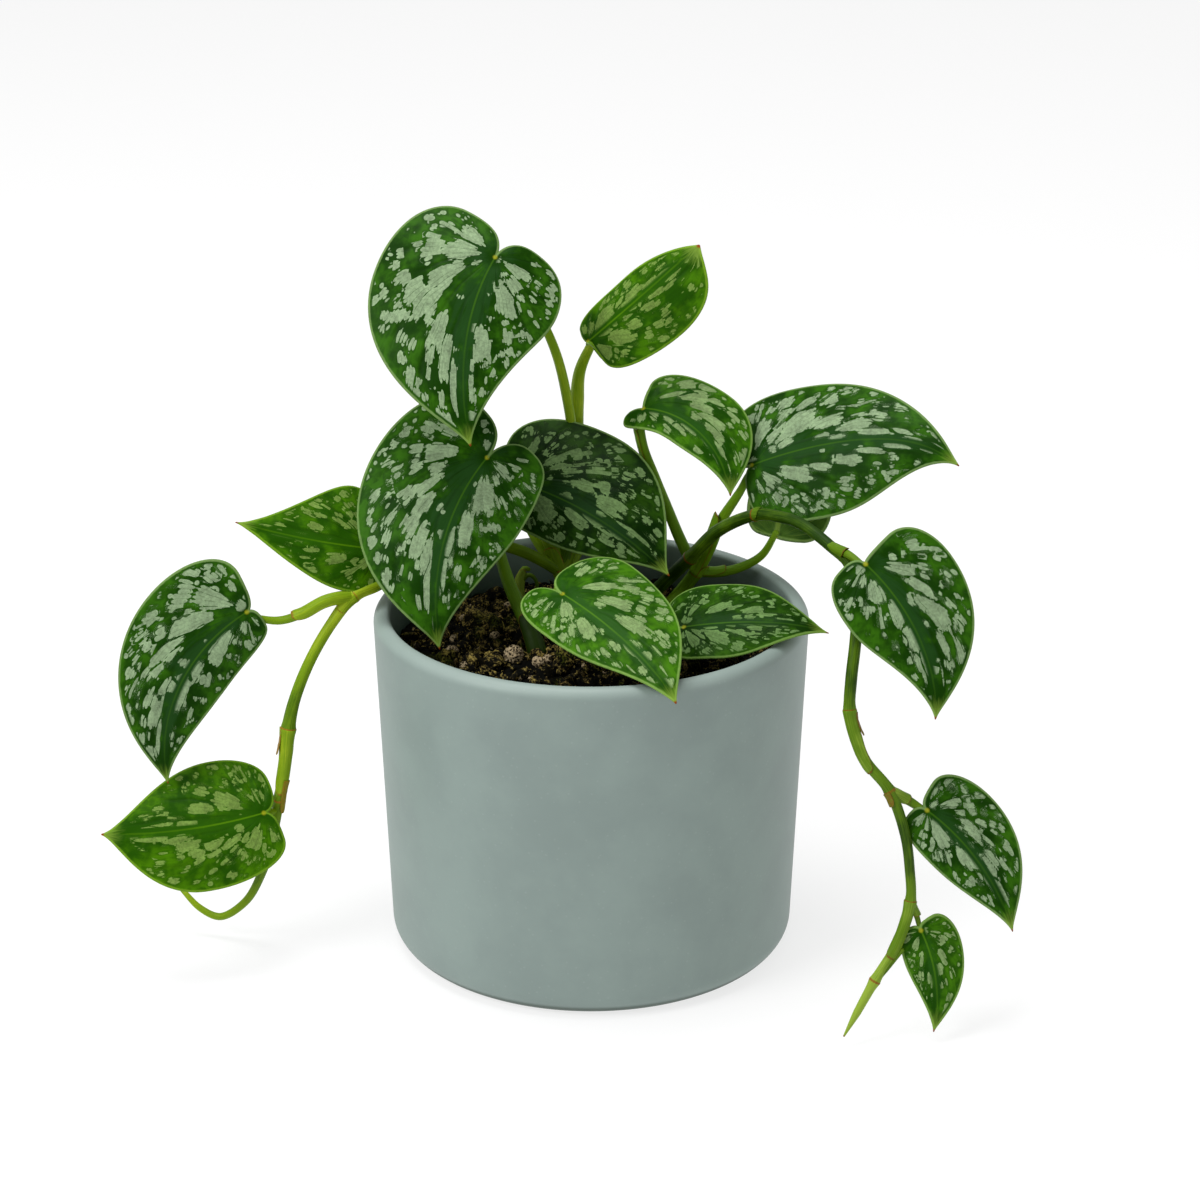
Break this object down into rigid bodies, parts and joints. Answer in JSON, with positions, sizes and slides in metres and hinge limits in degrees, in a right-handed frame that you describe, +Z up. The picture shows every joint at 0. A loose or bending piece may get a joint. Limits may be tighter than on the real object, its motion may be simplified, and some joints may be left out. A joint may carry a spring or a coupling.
{
  "type": "potted satin pothos",
  "caption": "Satin pothos with heart-shaped, silver-splashed leaves and trailing vines, growing in a plain cylindrical ceramic pot filled with potting mix.",
  "frame": {"origin": "centre of the pot's flat underside", "axes": "+Z up, -Y towards the viewer of the front, +X to the viewer's right, where the longer vine arches over the rim"},
  "size_m": [0.2575, 0.1602, 0.2114],
  "materials": {
    "pot": "matte",
    "soil": "matte",
    "stem": "satin",
    "leaf": "satin",
    "leaf_young": "satin"
  },
  "bodies": {
    "root": {"pot": "pot", "soil": "soil", "vine_right": "stem", "stem_right": "stem", "vine_left": "stem", "petiole_front": "stem", "shoot": "stem", "leaf_crown_top": "leaf", "leaf_crown_young": "leaf_young", "leaf_crown_left": "leaf", "leaf_crown_shaded": "leaf", "leaf_front": "leaf", "leaf_rim_right": "leaf", "leaf_folded": "leaf", "leaf_wide_right": "leaf", "leaf_vine_right_1": "leaf", "leaf_vine_right_2": "leaf", "leaf_vine_right_3": "leaf", "leaf_vine_left_1": "leaf_young", "leaf_vine_left_2": "leaf", "leaf_vine_left_3": "leaf_young", "leaf_back_right": "leaf", "leaf_back_left": "leaf", "leaf_back_middle": "leaf"}
  },
  "joints": []
}
